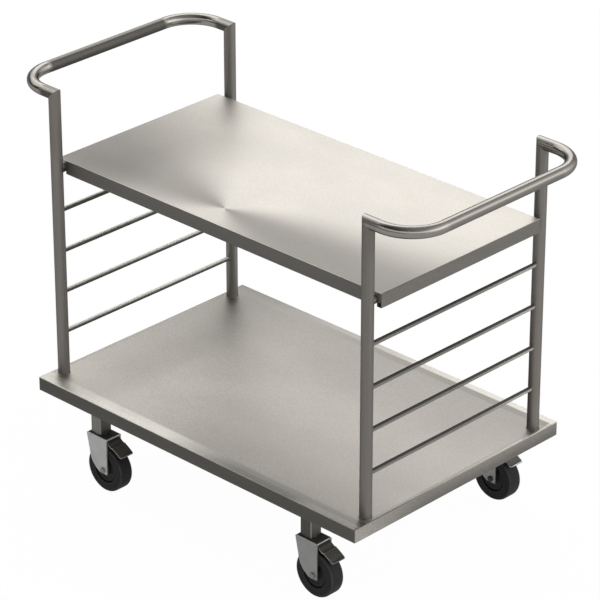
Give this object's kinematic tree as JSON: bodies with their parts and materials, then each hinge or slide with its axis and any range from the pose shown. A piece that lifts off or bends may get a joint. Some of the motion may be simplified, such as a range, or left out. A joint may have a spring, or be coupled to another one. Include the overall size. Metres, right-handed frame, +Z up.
{
  "type": "tiered shelf trolley",
  "caption": "Stainless steel shelf trolley with a wide low deck, a narrower raised shelf, tube posts that bend into push handles, thin side rungs and braked swivel casters.",
  "frame": {"origin": "on the floor under the middle of the deck, between the wheels", "axes": "+X along the length towards the end the casters trail to, -Y the front long side, +Z up"},
  "size_m": [1.11, 0.6, 0.85],
  "materials": {
    "steel_sheet": "satin stainless sheet with fine grain",
    "steel_tube": "satin stainless tube, polished lengthwise",
    "zinc_steel": "bright zinc plate",
    "tyre_rubber": "matt black rubber",
    "hub_plastic": "black moulded plastic",
    "bush_plastic": "plain nylon",
    "pedal_steel": "blackened pressed sheet, worn bright at its edges"
  },
  "bodies": {
    "frame": {"base_deck": "steel_sheet", "top_shelf": "steel_sheet", "shelf_stiffener": "steel_sheet", "shelf_brackets": "steel_sheet", "shelf_studs": "steel_tube", "shelf_nuts": "zinc_steel", "leg_inserts": "zinc_steel", "kingpins": "zinc_steel", "swivel_races": "zinc_steel", "cross_rail_left": "steel_sheet", "cross_rail_right": "steel_sheet", "handle_left": "steel_tube", "handle_right": "steel_tube", "post_front_left": "steel_tube", "caster_leg_front_left": "steel_tube", "post_front_right": "steel_tube", "caster_leg_front_right": "steel_tube", "post_rear_left": "steel_tube", "caster_leg_rear_left": "steel_tube", "post_rear_right": "steel_tube", "caster_leg_rear_right": "steel_tube", "rung_left_1": "steel_tube", "rung_left_2": "steel_tube", "rung_left_3": "steel_tube", "rung_left_4": "steel_tube", "rung_right_1": "steel_tube", "rung_right_2": "steel_tube", "rung_right_3": "steel_tube", "rung_right_4": "steel_tube"},
    "caster_front_left": {"fork_front_left": "zinc_steel", "axle_rivet_front_left": "zinc_steel", "brake_pin_front_left": "zinc_steel"},
    "wheel_front_left": {"tyre_front_left": "tyre_rubber", "wheel_hub_front_left": "hub_plastic", "wheel_bush_front_left": "bush_plastic"},
    "pedal_front_left": {"brake_pedal_front_left": "pedal_steel"},
    "caster_front_right": {"fork_front_right": "zinc_steel", "axle_rivet_front_right": "zinc_steel", "brake_pin_front_right": "zinc_steel"},
    "wheel_front_right": {"tyre_front_right": "tyre_rubber", "wheel_hub_front_right": "hub_plastic", "wheel_bush_front_right": "bush_plastic"},
    "pedal_front_right": {"brake_pedal_front_right": "pedal_steel"},
    "caster_rear_left": {"fork_rear_left": "zinc_steel", "axle_rivet_rear_left": "zinc_steel", "brake_pin_rear_left": "zinc_steel"},
    "wheel_rear_left": {"tyre_rear_left": "tyre_rubber", "wheel_hub_rear_left": "hub_plastic", "wheel_bush_rear_left": "bush_plastic"},
    "pedal_rear_left": {"brake_pedal_rear_left": "pedal_steel"},
    "caster_rear_right": {"fork_rear_right": "zinc_steel", "axle_rivet_rear_right": "zinc_steel", "brake_pin_rear_right": "zinc_steel"},
    "wheel_rear_right": {"tyre_rear_right": "tyre_rubber", "wheel_hub_rear_right": "hub_plastic", "wheel_bush_rear_right": "bush_plastic"},
    "pedal_rear_right": {"brake_pedal_rear_right": "pedal_steel"}
  },
  "joints": [
    {"name": "swivel_front_left", "type": "hinge", "parent": "frame", "child": "caster_front_left", "pos_m": [-0.3, -0.265, 0.1245], "axis": [0, 0, 1], "continuous": true},
    {"name": "roll_front_left", "type": "hinge", "parent": "caster_front_left", "child": "wheel_front_left", "pos_m": [-0.2755, -0.265, 0.05], "axis": [0, 1, 0], "continuous": true},
    {"name": "brake_front_left", "type": "hinge", "parent": "caster_front_left", "child": "pedal_front_left", "pos_m": [-0.2735, -0.265, 0.1135], "axis": [0, 1, 0], "range_deg": [0, 12]},
    {"name": "swivel_front_right", "type": "hinge", "parent": "frame", "child": "caster_front_right", "pos_m": [0.3, -0.265, 0.1245], "axis": [0, 0, 1], "continuous": true},
    {"name": "roll_front_right", "type": "hinge", "parent": "caster_front_right", "child": "wheel_front_right", "pos_m": [0.3245, -0.265, 0.05], "axis": [0, 1, 0], "continuous": true},
    {"name": "brake_front_right", "type": "hinge", "parent": "caster_front_right", "child": "pedal_front_right", "pos_m": [0.3265, -0.265, 0.1135], "axis": [0, 1, 0], "range_deg": [0, 12]},
    {"name": "swivel_rear_left", "type": "hinge", "parent": "frame", "child": "caster_rear_left", "pos_m": [-0.3, 0.265, 0.1245], "axis": [0, 0, 1], "continuous": true},
    {"name": "roll_rear_left", "type": "hinge", "parent": "caster_rear_left", "child": "wheel_rear_left", "pos_m": [-0.2755, 0.265, 0.05], "axis": [0, 1, 0], "continuous": true},
    {"name": "brake_rear_left", "type": "hinge", "parent": "caster_rear_left", "child": "pedal_rear_left", "pos_m": [-0.2735, 0.265, 0.1135], "axis": [0, 1, 0], "range_deg": [0, 12]},
    {"name": "swivel_rear_right", "type": "hinge", "parent": "frame", "child": "caster_rear_right", "pos_m": [0.3, 0.265, 0.1245], "axis": [0, 0, 1], "continuous": true},
    {"name": "roll_rear_right", "type": "hinge", "parent": "caster_rear_right", "child": "wheel_rear_right", "pos_m": [0.3245, 0.265, 0.05], "axis": [0, 1, 0], "continuous": true},
    {"name": "brake_rear_right", "type": "hinge", "parent": "caster_rear_right", "child": "pedal_rear_right", "pos_m": [0.3265, 0.265, 0.1135], "axis": [0, 1, 0], "range_deg": [0, 12]}
  ]
}
